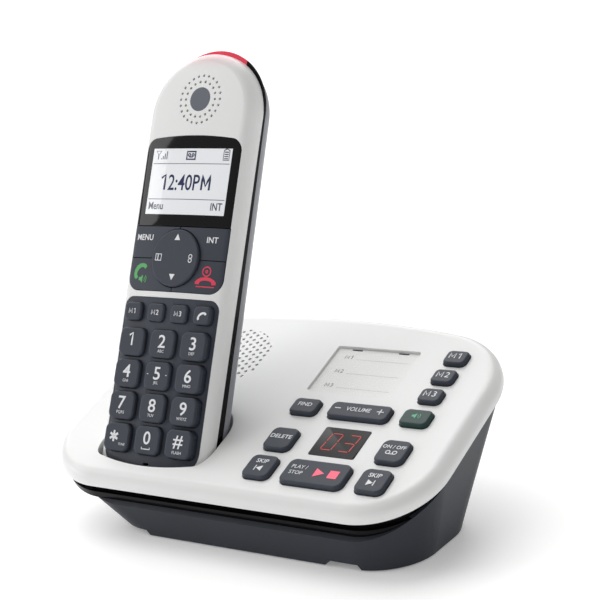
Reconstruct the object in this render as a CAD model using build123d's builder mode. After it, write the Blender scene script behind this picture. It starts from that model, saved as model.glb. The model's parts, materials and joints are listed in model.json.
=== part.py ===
"""Cordless telephone: a sloping answering-machine base with the handset standing in its cradle.

Millimetres, +Z up, the key deck faces -Y and the sockets face +Y.  The origin lies on the table
under the middle of the base.  Positions on the deck are (x, v) with v measured up the slope;
positions on the handset are (u, v) on its face with v measured up the handset.
"""
from build123d import *
import os
from math import cos, radians, sin

os.makedirs("parts", exist_ok=True)

# ---------------------------------------------------------------- base, driving dimensions
deck_slope = 19.8            # the deck rises towards the back
deck_start = (-53.9, 22.8)   # y and z of the deck plane at v = 0
deck_half_width = 84.0
deck_front_v = 3.4
deck_back_v = 108.6
rim_height = 6.0             # depth of the white shell's side
rim_radius = 5.0             # rounding of the white shell's top edge
shell_wall = 2.4
hull_inset = 1.0             # the lower housing stands this far inside the white rim
hull_wall = 2.4
ground_gap = 0.5             # housing to table, taken up by the rubber feet
floor_top = 3.6
band_height = 1.4            # gloss trim at the sides and back
band_front_height = 7.6      # gloss trim at the front, where it deepens to a lip
band_taper_v = 34.0          # distance up the slope over which the lip runs out
groove_height, groove_depth = 3.6, 1.4   # shadow groove between the white shell and the lip
deck_corners = (28.0, 34.0)  # front and back corner radius of the white shell
deck_bow = 9.4               # degrees that the back edge turns by at each end
skirt_left, skirt_right = -52.0, 77.0
skirt_front, skirt_back = -46.0, 21.0
skirt_corners = (21.0, 20.0)
skirt_bow = 30.0
cut_reach = 130.0            # cutting shapes run on this far, clear of the part

# ---------------------------------------------------------------- handset, driving dimensions
lean = 26.9                  # the handset leans back this far from upright
handset_x = -34.8
face_start = (-20.9, 67.8)   # y and z of the face plane at v = 0, the middle of the 1-2-3 row
handset_half_width = 25.2
handset_foot = -52.0         # v of the lower end
dome_v = 87.8                # v of the centre of the round upper end
handset_depth = (26.0, 23.0)  # face plane to the back, at the foot and at the dome
shoulder_depth = (14.5, 8.6)  # the sides start to turn in behind this
side_start = 8.0             # the rounded edge of the face has become the side here
front_depth = (1.5, 0.2)     # shell behind the key tops, at the foot and at the dome
crown = (3.0, 0.5)           # fall of the face from its middle to its edge, foot and dome
edge_start = 4.6             # the face starts to round over this far inside the side
edge_fall = 0.6              # how far the rounded edge drops before it turns down the side
back_fullness = (0.58, 0.6)  # how full the back's curve is, across and in depth
seam_depth = 9.0             # front shell's edge behind the face plane at v = 0
seam_slope = 0.85
seam_band = 2.7              # width of the black band between the two shells at v = 0
seam_band_slope = 0.85       # the band widens towards the foot
light_rise = 1.8             # the band stands proud of the shells by this much at the crown
handset_wall = 1.8
cradle_gap = 1.1             # handset to cradle wall
cradle_front_gap = 1.5       # extra room in front of the handset
cradle_wall = 1.8
cradle_floor = handset_foot - 0.5
cradle_top = 6.0             # v at which the cradle is well clear of the deck

# ---------------------------------------------------------------- keys
deck_key_rise = 1.8
deck_key_travel = 0.8
key_gap = 0.35
deck_column = 23.4           # outer key columns, either side of the display
panel_x = 39.3               # middle of the key group
digit_pitch = (14.6, 12.1)
digit_size = (11.6, 10.4)
digit_top_v = -0.8
small_pitch = 10.9
small_size = (7.6, 6.6)
small_v = 10.9
nav_radius = 11.0
nav_v = 31.9
nav_rise = 0.3               # top of the navigation key above the face plane
block_v = (19.2, 43.9)       # control block under the screen
lens_v = (44.2, 79.4)
panel_half_width = 22.3
keypad_v = (-48.5, 16.7)
key_radius = {"small": 1.9, "digit": 2.7}
cut_above, cut_below = 3.0, 9.0   # cuts through the face start above it and end below it

deck = Plane(
    origin=(0, deck_start[0], deck_start[1]),
    x_dir=(1, 0, 0),
    z_dir=(0, -sin(radians(deck_slope)), cos(radians(deck_slope))),
)
face = Plane(
    origin=(handset_x, face_start[0], face_start[1]),
    x_dir=(1, 0, 0),
    z_dir=(0, -cos(radians(lean)), sin(radians(lean))),
)
seam = face.offset(-seam_depth).rotated((seam_slope, 0, 0))
lower_seam = seam.offset(-seam_band).rotated((seam_band_slope, 0, 0))


def on_deck(x, v, height=0.0):
    """Plane parallel to the deck with its origin at (x, v) and at a height above it."""
    return Plane(origin=deck.from_local_coords((x, v, height)), x_dir=deck.x_dir, z_dir=deck.z_dir)


def on_face(u, v, height=0.0):
    """Plane parallel to the handset's face with its origin at (u, v)."""
    return Plane(origin=face.from_local_coords((u, v, height)), x_dir=face.x_dir, z_dir=face.z_dir)


def across(v):
    """Plane square to the handset's length; its y axis points from the face into the handset."""
    return Plane(origin=face.from_local_coords((0, v, 0)), x_dir=(1, 0, 0), z_dir=face.y_dir)


def finish(piece, name):
    """Label one finished piece and write its STEP file."""
    piece.part.label = name
    export_step(piece.part, f"parts/{name}.step")


# ---------------------------------------------------------------- outlines
def tray_outline(left, right, front, back, front_radius, back_radius, bow):
    """Rounded tray seen from above, its back edge bowed outwards by an angle at each corner."""
    middle = (left + right) / 2
    half = (right - left) / 2
    bow_radius = (half - back_radius) / sin(radians(bow)) + back_radius
    corner_y = back - back_radius * cos(radians(bow)) - bow_radius * (1 - cos(radians(bow)))
    with BuildSketch() as outline:
        with BuildLine():
            front_edge = Line((middle, front), (right - front_radius, front))
            front_corner = JernArc(front_edge @ 1, (1, 0), front_radius, 90)
            side = Line(front_corner @ 1, (right, corner_y))
            back_corner = JernArc(side @ 1, (0, 1), back_radius, 90 - bow)
            JernArc(back_corner @ 1, back_corner % 1, bow_radius, bow)
            mirror(about=Plane.YZ.offset(middle))
        make_face()
    return outline.sketch


def deck_outline(inset=0.0):
    return tray_outline(
        inset - deck_half_width, deck_half_width - inset,
        deck_front_v + inset, deck_back_v - inset,
        deck_corners[0] - inset, deck_corners[1] - inset, deck_bow,
    )


def skirt_outline(inset=0.0):
    return tray_outline(
        skirt_left + inset, skirt_right - inset, skirt_front + inset, skirt_back - inset,
        skirt_corners[0] - inset, skirt_corners[1] - inset, skirt_bow,
    )


def hull(inset, bottom):
    """Lower housing: from its outline on the table up to the wider, tilted edge of the deck."""
    with BuildPart() as body:
        with BuildSketch(Plane.XY.offset(bottom)):
            add(skirt_outline(inset))
        with BuildSketch(deck.offset(-rim_height)):
            add(deck_outline(hull_inset + inset))
        loft(ruled=True)
    return body.part


def taper(ends, v):
    """Value at v of something that changes evenly from the handset's foot to its dome."""
    return ends[0] + (v - handset_foot) / (dome_v - handset_foot) * (ends[1] - ends[0])


def handset_section(v, inset, half=False, front=0.0):
    """Cross-section of the handset at v: crowned face, rounded edges and a deep rounded back."""
    side = handset_half_width - inset
    top = taper(front_depth, v) + inset - front
    edge_x = handset_half_width - edge_start
    edge_y = top + taper(crown, v) * (edge_x / handset_half_width) ** 2
    shoulder = taper(shoulder_depth, v)
    back = taper(handset_depth, v) - inset
    turn_x, turn_y = back_fullness[0] * side, shoulder + back_fullness[1] * (back - shoulder)
    with BuildSketch() as section:
        with BuildLine():
            ThreePointArc((-edge_x, edge_y), (0, top), (edge_x, edge_y))
            Bezier((edge_x, edge_y), (side, edge_y + edge_fall), (side, side_start))
            Line((side, side_start), (side, shoulder))
            Bezier((side, shoulder), (side, turn_y), (turn_x, back), (0, back))
            Bezier((0, back), (-turn_x, back), (-side, turn_y), (-side, shoulder))
            Line((-side, shoulder), (-side, side_start))
            Bezier((-side, side_start), (-side, edge_y + edge_fall), (-edge_x, edge_y))
        make_face()
        if half:
            split(bisect_by=Plane.YZ, keep=Keep.TOP)
    return section.sketch


def handset_bar(low, high, inset, front=0.0):
    """Straight length of the handset's form between two values of v."""
    with BuildPart() as body:
        with BuildSketch(across(low)):
            add(handset_section(low, inset, front=front))
        with BuildSketch(across(high)):
            add(handset_section(high, inset, front=front))
        loft(ruled=True)
    return body.part


def handset_form(inset, foot):
    """Whole handset: the straight bar and the round end spun from its last section."""
    with BuildPart() as body:
        add(handset_bar(foot, dome_v, inset))
        with BuildSketch(across(dome_v)):
            add(handset_section(dome_v, inset, half=True))
        revolve(axis=Axis(face.from_local_coords((0, dome_v, 0)), face.z_dir), revolution_arc=180)
    return body.part


def plate(plane, width, height, radius, thickness):
    """Flat plate with rounded corners, its upper face on the plane."""
    with BuildPart() as body:
        with BuildSketch(plane):
            RectangleRounded(width, height, radius)
        extrude(amount=-thickness)
    return body


# ================================================================ base
# Deck keys: offset from the middle of the key group, place up the slope, width, height, corner.
deck_keys = {
    "key_m1": (23.4, 86.2, 9.0, 7.5, 2.1),
    "key_m2": (23.4, 75.2, 9.0, 7.5, 2.1),
    "key_m3": (23.4, 64.2, 9.0, 7.5, 2.1),
    "key_find": (-deck_column, 51.9, 11.4, 8.3, 2.2),
    "key_volume": (0.0, 51.9, 25.4, 8.3, 2.4),
    "key_speaker": (deck_column, 51.9, 11.4, 8.3, 2.2),
    "key_delete": (-deck_column, 33.4, 11.4, 11.6, 2.8),
    "key_on_off": (deck_column, 33.4, 11.4, 11.6, 2.8),
    "key_skip_back": (-deck_column, 18.2, 11.4, 11.6, 2.8),
    "key_play_stop": (0.0, 18.2, 25.8, 12.2, 3.0),
    "key_skip_forward": (deck_column, 18.2, 11.4, 11.6, 2.8),
}
key_flange = 0.8
display_size, display_v, window_gap = (19.0, 15.0), 35.9, 0.2
card_size = (36.6, 27.0)
card_x, card_v = 28.1, 75.8
card_recess, card_radius = 1.3, 1.2
card_slots, card_slot_size = (-9.7, 10.8), (4.5, 1.3)
speaker_x, speaker_v, speaker_radius = -35.2, 77.5, 18.0
speaker_hole_pitch, speaker_hole_radius = 2.95, 0.7
screw_spots = [(10, -28), (60, -20), (-34, -4), (60, 0)]
foot_spots = [(-18, -38), (30, -38), (-20, 9), (45, 9)]
foot_radius = 5.0
power_jack_x, line_jack_x, jack_z = 22.0, 0.0, 13.0
# Recess for the plugs in the back wall: left, right, lowest, highest, and the y of its far wall.
bay_left, bay_right, bay_low, bay_high, bay_y = -11.0, 31.0, 5.0, 21.5, 13.0
bay_run = 40.0
jack_back = bay_y - 0.4
foot_height = 1.6

# The gloss trim fills the hull's edge down to this line, which drops in a curve at the front.
deck_side = Plane(
    origin=deck.from_local_coords((-cut_reach, 0, 0)), x_dir=deck.y_dir, z_dir=(1, 0, 0)
)
with BuildPart() as trim_zone:
    with BuildSketch(deck_side):
        with BuildLine():
            level = -(rim_height + band_height)
            dip = -(rim_height + band_front_height)
            Line((cut_reach, 0), (cut_reach, level))
            Line((cut_reach, level), (band_taper_v, level))
            curve = TangentArc((band_taper_v, level), (deck_front_v - 2, dip), tangent=(-1, 0))
            Polyline(curve @ 1, (-cut_reach, dip), (-cut_reach, 0), (cut_reach, 0))
        make_face()
    extrude(amount=2 * cut_reach)

with BuildPart() as groove:
    with BuildSketch(deck.offset(-rim_height)):
        add(deck_outline(hull_inset))
        add(deck_outline(hull_inset + groove_depth), mode=Mode.SUBTRACT)
    extrude(amount=-groove_height)

with BuildPart() as trim_band:
    with BuildSketch(deck.offset(-rim_height)):
        add(deck_outline(hull_inset))
    extrude(amount=-(band_front_height + 1))
    add(groove.part, mode=Mode.SUBTRACT)
    add(trim_zone.part, mode=Mode.INTERSECT)
    add(hull(hull_wall, floor_top), mode=Mode.SUBTRACT)
finish(trim_band, "trim_band")

# Cradle for the handset's foot.  It hangs under the top shell, close to the housing's left wall.
cradle_clearance = 0.1
with BuildPart() as cradle:
    add(handset_bar(
        cradle_floor - cradle_wall, cradle_top, -(cradle_gap + cradle_wall), cradle_front_gap,
    ))
    split(bisect_by=deck.offset(-1.0), keep=Keep.BOTTOM)
cradle_space = handset_bar(
    cradle_floor - cradle_wall - cradle_clearance, cradle_top,
    -(cradle_gap + cradle_wall + cradle_clearance), cradle_front_gap,
)

# Lower housing, with screw bosses, foot recesses, two finger notches and the socket openings.
notch_depth, notch_height, notch_slope, notch_half_width = 20.0, 1.9, 1.6, 7.6
notch_spots = (-40.0, 52.3)
power_body, line_body, body_clearance = (10.0, 12.0, 11.0), (14.0, 14.0, 12.0), 0.4
boss_height, boss_radius = 9.0, 3.6
screw_head, screw_shank = (2.7, 1.8), (1.4, 9.5)
screw_slot = (2.6, 0.7, 0.9)
screw_low = ground_gap + 0.5
screw_seat = screw_low + screw_head[1]
with BuildPart() as bay_walls:
    with BuildSketch(Plane.XY.offset(floor_top - 0.5)):
        with Locations(((bay_left + bay_right) / 2, bay_y + bay_run / 2)):
            Rectangle(bay_right - bay_left + 2 * hull_wall, bay_run + 2 * hull_wall)
    extrude(amount=bay_high + hull_wall - floor_top)
    add(hull(0, ground_gap), mode=Mode.INTERSECT)

with BuildPart() as base_bottom_housing:
    add(hull(0, ground_gap))
    add(hull(hull_wall, floor_top), mode=Mode.SUBTRACT)
    add(trim_zone.part, mode=Mode.SUBTRACT)
    add(cradle_space, mode=Mode.SUBTRACT)
    add(bay_walls.part)
    with BuildSketch(Plane.XY.offset(bay_low)):
        with Locations(((bay_left + bay_right) / 2, bay_y + bay_run / 2)):
            Rectangle(bay_right - bay_left, bay_run)
    extrude(amount=bay_high - bay_low, mode=Mode.SUBTRACT)
    with BuildSketch(Plane.XY.offset(floor_top)):
        with Locations(*screw_spots):
            Circle(boss_radius)
    extrude(amount=boss_height)
    with BuildSketch(Plane.XY):
        with Locations(*foot_spots):
            Circle(foot_radius)
    extrude(amount=foot_height, mode=Mode.SUBTRACT)
    with BuildSketch(Plane.XY):
        with Locations(*screw_spots):
            Circle(screw_head[0] + 0.2)
    extrude(amount=screw_seat, mode=Mode.SUBTRACT)
    with BuildSketch(Plane.XY):
        with Locations(*screw_spots):
            Circle(screw_shank[0])
    extrude(amount=screw_seat + screw_shank[1], mode=Mode.SUBTRACT)
    with BuildSketch(Plane.XZ.offset(-skirt_front + 2)):
        for middle in notch_spots:
            left, right = middle - notch_half_width, middle + notch_half_width
            roof = ground_gap + notch_height
            with BuildLine():
                Polyline(
                    (left, 0), (left + notch_slope, roof), (right - notch_slope, roof), (right, 0),
                    close=True,
                )
            make_face()
    extrude(amount=-notch_depth, mode=Mode.SUBTRACT)
    for x, body in ((power_jack_x, power_body), (line_jack_x, line_body)):
        with Locations((x, bay_y, jack_z)):
            Box(
                body[0] + body_clearance, body[1], body[2] + body_clearance,
                mode=Mode.SUBTRACT,
            )
finish(base_bottom_housing, "base_bottom_housing")

with BuildPart() as base_feet:
    with BuildSketch(Plane.XY):
        with Locations(*foot_spots):
            Circle(foot_radius - 0.2)
    extrude(amount=foot_height)
    chamfer(base_feet.faces().sort_by(Axis.Z)[0:4].edges(), 0.3)
finish(base_feet, "base_feet")

with BuildPart() as base_screws:
    with BuildSketch(Plane.XY.offset(screw_low)):
        with Locations(*screw_spots):
            Circle(screw_head[0])
    extrude(amount=screw_head[1])
    with BuildSketch(Plane.XY.offset(screw_seat)):
        with Locations(*screw_spots):
            Circle(screw_shank[0] - 0.05)
    extrude(amount=screw_shank[1] - 1)
    with BuildSketch(Plane.XY.offset(screw_low)):
        with Locations(*screw_spots):
            Rectangle(*screw_slot[0:2])
            Rectangle(*screw_slot[1::-1])
    extrude(amount=screw_slot[2], mode=Mode.SUBTRACT)
finish(base_screws, "base_screws")

# Sockets in the back wall: a low-voltage jack with its centre pin, and a six-way line socket.
jack_face = jack_back + 1.0
power_well, power_pin, power_depth = 3.0, 1.0, 9.5
line_well, line_latch, line_depth = (9.8, 7.0), (4.0, 1.4), 11.0
with BuildPart() as power_jack:
    with Locations((power_jack_x, jack_face - power_body[1] / 2, jack_z)):
        Box(*power_body)
    with BuildSketch(Plane(origin=(power_jack_x, jack_face, jack_z), z_dir=(0, 1, 0))):
        Circle(power_well)
        Circle(power_pin, mode=Mode.SUBTRACT)
    extrude(amount=-power_depth, mode=Mode.SUBTRACT)
finish(power_jack, "power_jack")

with BuildPart() as line_jack:
    with Locations((line_jack_x, jack_face - line_body[1] / 2, jack_z)):
        Box(*line_body)
    with Locations((line_jack_x, jack_face - line_depth / 2, jack_z)):
        Box(line_well[0], line_depth, line_well[1], mode=Mode.SUBTRACT)
    with Locations((line_jack_x, jack_face - line_depth / 2, jack_z - line_well[1] / 2)):
        Box(line_latch[0], line_depth, 2 * line_latch[1], mode=Mode.SUBTRACT)
finish(line_jack, "line_jack")

# Charging contacts: a sprung pair in the cradle's floor meets a pair of pads on the handset's foot.
contact_spacing, contact_depth, contact_size, contact_radius = 9.0, 18.6, (5.0, 3.0), 0.6


def contact_pair(high, low, grow):
    """Two rounded bars side by side, between two heights along the handset."""
    with BuildPart() as body:
        with BuildSketch(across(high)):
            with Locations((-contact_spacing, contact_depth), (contact_spacing, contact_depth)):
                RectangleRounded(contact_size[0] + grow, contact_size[1] + grow, contact_radius)
        extrude(amount=low - high)
    return body.part


# White top shell with key holes, window and card recess.  It carries the cradle.
with BuildPart() as base_top_shell:
    with BuildSketch(deck):
        add(deck_outline())
    extrude(amount=-rim_height)
    deck_axis = Axis(deck.origin, deck.z_dir)
    fillet(base_top_shell.faces().sort_by(deck_axis)[-1].edges(), rim_radius)
    with BuildSketch(deck.offset(-shell_wall)):
        add(deck_outline(shell_wall))
    extrude(amount=-rim_height, mode=Mode.SUBTRACT)
    add(cradle.part)
    add(handset_bar(cradle_floor, cradle_top, -cradle_gap, cradle_front_gap), mode=Mode.SUBTRACT)
    add(contact_pair(cradle_floor + 1, cradle_floor - cradle_wall - 1, 0), mode=Mode.SUBTRACT)
    for dx, v, width, height, radius in deck_keys.values():
        with BuildSketch(on_deck(panel_x + dx, v)):
            RectangleRounded(width + 2 * key_gap, height + 2 * key_gap, radius + key_gap)
        extrude(amount=-(shell_wall + 1), mode=Mode.SUBTRACT)
    with BuildSketch(on_deck(panel_x, display_v)):
        RectangleRounded(display_size[0] + window_gap, display_size[1] + window_gap, 0.8)
    extrude(amount=-(shell_wall + 1), mode=Mode.SUBTRACT)
    with BuildSketch(on_deck(card_x, card_v)):
        RectangleRounded(*card_size, card_radius)
    extrude(amount=-card_recess, mode=Mode.SUBTRACT)
    with BuildSketch(on_deck(speaker_x, speaker_v)):
        with HexLocations(speaker_hole_pitch / 2, 13, 15):
            Circle(speaker_hole_radius)
        Circle(speaker_radius - speaker_hole_radius, mode=Mode.INTERSECT)
    extrude(amount=-(shell_wall + 1), mode=Mode.SUBTRACT)
finish(base_top_shell, "base_top_shell")

# ---- base, inside
speaker_middle = deck.from_local_coords((speaker_x, speaker_v, 0))
# Half section of the loudspeaker, radius and height: dust cap, cone, rim, basket and magnet.
speaker_section = [
    (0, -3.6), (6, -3.6), (15, -3.8), (18, -2.6), (18, -4.4), (16, -4.4), (10, -9), (10, -14), (0, -14),
]
with BuildPart() as loudspeaker:
    with BuildSketch(Plane(origin=speaker_middle, x_dir=(1, 0, 0), z_dir=-deck.y_dir)):
        with BuildLine():
            Polyline(*speaker_section, close=True)
        make_face()
    revolve(axis=Axis(speaker_middle, deck.z_dir))
finish(loudspeaker, "loudspeaker")

window_rise, window_thickness, window_radius = 0.15, 1.6, 0.7
display_window = plate(
    on_deck(panel_x, display_v, window_rise), *display_size, window_radius, window_thickness,
)
chamfer(display_window.faces().sort_by(deck_axis)[-1].edges(), window_rise)
finish(display_window, "display_window")

board_top, board_size, board_v, board_thickness = -5.9, (64.0, 80.0), 52.0, 1.6
module_top, module_size = -2.2, (17.6, 13.6)
display_module = plate(on_deck(panel_x, display_v, module_top), *module_size, 0.5, module_top - board_top)
finish(display_module, "display_module")

paper_thickness, paper_margin = 0.3, 0.8
index_card = plate(
    on_deck(card_x, card_v, paper_thickness - card_recess),
    card_size[0] - paper_margin, card_size[1] - paper_margin, 0.8, paper_thickness,
)
finish(index_card, "index_card")

cover_drop, cover_margin, cover_thickness, slot_margin = 0.2, 0.3, 0.7, 1.4
with BuildPart() as card_cover:
    with BuildSketch(on_deck(card_x, card_v, -cover_drop)):
        RectangleRounded(card_size[0] - cover_margin, card_size[1] - cover_margin, 1.0)
        with Locations(*[(x, card_size[1] / 2 - slot_margin) for x in card_slots]):
            Rectangle(*card_slot_size, mode=Mode.SUBTRACT)
    extrude(amount=-cover_thickness)
finish(card_cover, "card_cover")

mat_thickness, dome_height, dome_radius, module_gap = 0.8, 0.7, 2.4, 0.6
with BuildPart() as base_key_mat:
    with BuildSketch(on_deck(panel_x, board_v, board_top)):
        RectangleRounded(board_size[0] - 4, board_size[1] - 2, 3)
    extrude(amount=mat_thickness)
    with BuildSketch(on_deck(panel_x, 0, board_top + mat_thickness)):
        with Locations(*[(dx, v) for dx, v, *_ in deck_keys.values()]):
            Circle(dome_radius)
    extrude(amount=dome_height, taper=20)
    with BuildSketch(on_deck(panel_x, display_v, board_top)):
        RectangleRounded(module_size[0] + module_gap, module_size[1] + module_gap, 0.6)
    extrude(amount=mat_thickness, mode=Mode.SUBTRACT)
finish(base_key_mat, "base_key_mat")

# Components under the board: large and small chips, and upright capacitors.
chip_size, chip_spots, chip_height = (13.0, 13.0), [(-14, 18), (12, -6)], 1.4
driver_size, driver_spots = (8.0, 5.0), [(14, 20), (-18, -14)]
capacitor_radius, capacitor_spots, capacitor_height = 3.2, [(-22, 26), (20, 26), (0, 30)], 5.5
with BuildPart() as base_circuit_board:
    with BuildSketch(on_deck(panel_x, board_v, board_top)):
        RectangleRounded(*board_size, 5)
    extrude(amount=-board_thickness)
    with BuildSketch(on_deck(panel_x, board_v, board_top - board_thickness)):
        with Locations(*chip_spots):
            Rectangle(*chip_size)
        with Locations(*driver_spots):
            Rectangle(*driver_size)
    extrude(amount=-chip_height)
    with BuildSketch(on_deck(panel_x, board_v, board_top - board_thickness)):
        with Locations(*capacitor_spots):
            Circle(capacitor_radius)
    extrude(amount=-capacitor_height)
finish(base_circuit_board, "base_circuit_board")

with BuildPart() as charge_contacts:
    add(contact_pair(cradle_floor + 0.25, cradle_floor - cradle_wall - 2, 0))
finish(charge_contacts, "charge_contacts")

# ---- base, keys
rocker_drop = 0.35           # the rocker's flange hangs lower, so it has room to tilt
rocker_flange_inset = 10.0
flange_drop, flange_thickness, deck_key_edge = 0.3, 0.5, 0.9
for name, (dx, v, width, height, radius) in deck_keys.items():
    rocks = name == "key_volume"
    flange_width = width - rocker_flange_inset if rocks else width + 2 * key_flange
    flange_top = -(shell_wall + flange_drop) - (rocker_drop if rocks else 0)
    with BuildPart() as deck_key:
        with BuildSketch(on_deck(panel_x + dx, v, deck_key_rise)):
            RectangleRounded(width, height, radius)
        extrude(amount=flange_top - deck_key_rise)
        fillet(deck_key.faces().sort_by(deck_axis)[-1].edges(), deck_key_edge)
        with BuildSketch(on_deck(panel_x + dx, v, flange_top)):
            RectangleRounded(flange_width, height + 2 * key_flange, radius)
        extrude(amount=-flange_thickness)
    finish(deck_key, name)

# ================================================================ handset
lens_thickness, block_thickness, panel_thickness = 1.5, 3.2, 2.4
lens_shoulder, lens_arch = 5.0, 1.0
block_radius = 5.5
keypad_radius = (9.0, 4.0)
grille_rings, grille_hole = ((6.9, 18), (9.3, 24)), 0.55
earpiece_v = 93.6
door_v, door_half_width, door_gap, door_radius, door_depth = (-8.0, 56.0), 14.5, 0.3, 3.0, 15.0


def lens_outline(grow):
    """Screen lens: square at its lower end, round shoulders and a slightly arched upper end."""
    half = panel_half_width + grow
    low, high = lens_v[0] - grow, lens_v[1] + grow
    shoulder_v = high - lens_shoulder - lens_arch
    with BuildSketch() as outline:
        with BuildLine():
            Line((-half, low), (half, low))
            Line((half, low), (half, shoulder_v))
            corner = JernArc((half, shoulder_v), (0, 1), lens_shoulder, 80)
            ThreePointArc(corner @ 1, (0, high), (-(corner @ 1).X, (corner @ 1).Y))
            JernArc((-half, shoulder_v), (0, 1), lens_shoulder, -80)
            Line((-half, shoulder_v), (-half, low))
        make_face()
    return outline.sketch


def block_outline(grow):
    """Control block under the screen, round at its two lower corners."""
    half = panel_half_width + grow
    low, high = block_v[0] - grow, block_v[1] + grow
    with BuildSketch() as outline:
        with Locations((0, (low + high) / 2)):
            Rectangle(2 * half, high - low)
        fillet(outline.vertices().group_by(Axis.Y)[0], block_radius + grow)
    return outline.sketch


def keypad_outline(grow):
    """Keypad panel, which runs down into the cradle."""
    half = panel_half_width + grow
    low, high = keypad_v[0] - grow, keypad_v[1] + grow
    with BuildSketch() as outline:
        with Locations((0, (low + high) / 2)):
            Rectangle(2 * half, high - low)
        fillet(outline.vertices().group_by(Axis.Y)[-1], keypad_radius[1] + grow)
        fillet(outline.vertices().group_by(Axis.Y)[0], keypad_radius[0] + grow)
    return outline.sketch


def skin(outline, rise, thickness):
    """Curved plate cut from the handset's surface by an outline on the face."""
    with BuildPart() as body:
        with BuildSketch(face.offset(cut_above)):
            add(outline)
        extrude(amount=-(cut_above + cut_below))
        add(handset_bar(handset_foot, dome_v, -rise), mode=Mode.INTERSECT)
        add(handset_bar(handset_foot, dome_v, thickness - rise), mode=Mode.SUBTRACT)
    return body


# Handset keys: place and size on the face.
small_keys = {
    name: ((i - 1.5) * small_pitch, small_v)
    for i, name in enumerate(("key_memory_1", "key_memory_2", "key_memory_3", "key_redial"))
}
digit_keys = {
    f"key_{name}": ((i % 3 - 1) * digit_pitch[0], digit_top_v - (i // 3) * digit_pitch[1])
    for i, name in enumerate(
        ("1", "2", "3", "4", "5", "6", "7", "8", "9", "star", "0", "hash")
    )
}
key_spots = [(spot, small_size, key_radius["small"]) for spot in small_keys.values()]
key_spots += [(spot, digit_size, key_radius["digit"]) for spot in digit_keys.values()]

handset_outer = handset_form(0, handset_foot)
handset_inner = handset_form(handset_wall, handset_foot + handset_wall)

with BuildPart() as handset_front_shell:
    add(handset_outer)
    add(handset_inner, mode=Mode.SUBTRACT)
    split(bisect_by=seam, keep=Keep.TOP)
    with BuildSketch(face.offset(cut_above)):
        add(lens_outline(0.1))
        add(block_outline(0.25))
        add(keypad_outline(0.1))
        with Locations((0, earpiece_v)):
            for ring_radius, count in grille_rings:
                with PolarLocations(ring_radius, count):
                    Circle(grille_hole)
    extrude(amount=-cut_below, mode=Mode.SUBTRACT)
finish(handset_front_shell, "handset_front_shell")

# The light lens is the top of the band between the shells; the rest of the band is black.  At the
# crown the band is a round rib of the shells' own radius, moved up so that it stands proud.
with BuildPart() as band_ring:
    add(handset_outer)
    with BuildSketch(on_face(0, dome_v + light_rise)):
        Circle(handset_half_width)
    extrude(amount=-cut_reach)
    add(handset_inner, mode=Mode.SUBTRACT)
    split(bisect_by=seam, keep=Keep.BOTTOM)
    split(bisect_by=lower_seam, keep=Keep.TOP)
light_half_width, light_low_v, light_height = 14.0, 96.0, 30.0
with BuildPart() as light_zone:
    with BuildSketch(on_face(0, light_low_v + light_height / 2)):
        Rectangle(2 * light_half_width, light_height)
    extrude(amount=-cut_reach)
with BuildPart() as light_lens:
    add(band_ring.part)
    add(light_zone.part, mode=Mode.INTERSECT)
finish(light_lens, "light_lens")
with BuildPart() as handset_band:
    add(band_ring.part)
    add(light_zone.part, mode=Mode.SUBTRACT)
finish(handset_band, "handset_band")

# Battery door and the grey back shell around it.
def door_zone(gap):
    with BuildPart() as zone:
        with BuildSketch(on_face(0, (door_v[0] + door_v[1]) / 2, -door_depth)):
            RectangleRounded(2 * (door_half_width + gap), door_v[1] - door_v[0] + 2 * gap, door_radius)
        extrude(amount=-door_depth)
    return zone.part


pad_thickness, pad_overlap = 0.5, 1.2
shell_screw_spots = [(-12.0, 70.0), (12.0, 70.0)]
shell_boss_radius, shell_boss_top, shell_boss_length = 3.4, -13.0, 8.5
shell_head_radius, shell_head_height, shell_shank_radius, shell_shank_length = 2.3, 1.5, 1.1, 6.0
shell_seat, shell_slot = -19.5, (2.2, 0.6, 0.7)
with BuildPart() as handset_back_shell:
    add(handset_outer)
    add(handset_inner, mode=Mode.SUBTRACT)
    split(bisect_by=lower_seam, keep=Keep.BOTTOM)
    add(door_zone(door_gap), mode=Mode.SUBTRACT)
    add(contact_pair(handset_foot + pad_thickness, handset_foot - 1, pad_overlap), mode=Mode.SUBTRACT)
    with BuildSketch(face.offset(shell_boss_top)):
        with Locations(*shell_screw_spots):
            Circle(shell_boss_radius)
    extrude(amount=-shell_boss_length)
    with BuildSketch(face.offset(shell_seat)):
        with Locations(*shell_screw_spots):
            Circle(shell_head_radius + 0.2)
    extrude(amount=-cut_below, mode=Mode.SUBTRACT)
    with BuildSketch(face.offset(shell_boss_top)):
        with Locations(*shell_screw_spots):
            Circle(shell_shank_radius)
    extrude(amount=-shell_boss_length, mode=Mode.SUBTRACT)
finish(handset_back_shell, "handset_back_shell")

door_wall = 1.6
grip_width, grip_height, grip_depth, grip_pitch = 9.0, 0.8, 1.6, 2.0
with BuildPart() as battery_door:
    add(handset_outer)
    add(handset_form(door_wall, handset_foot + door_wall), mode=Mode.SUBTRACT)
    add(door_zone(0), mode=Mode.INTERSECT)
    with BuildSketch(on_face(0, door_v[0] + 4 * grip_pitch, -handset_depth[0])):
        with GridLocations(0, grip_pitch, 1, 3):
            SlotOverall(grip_width, grip_height)
    extrude(amount=grip_depth, mode=Mode.SUBTRACT)
finish(battery_door, "battery_door")

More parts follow.
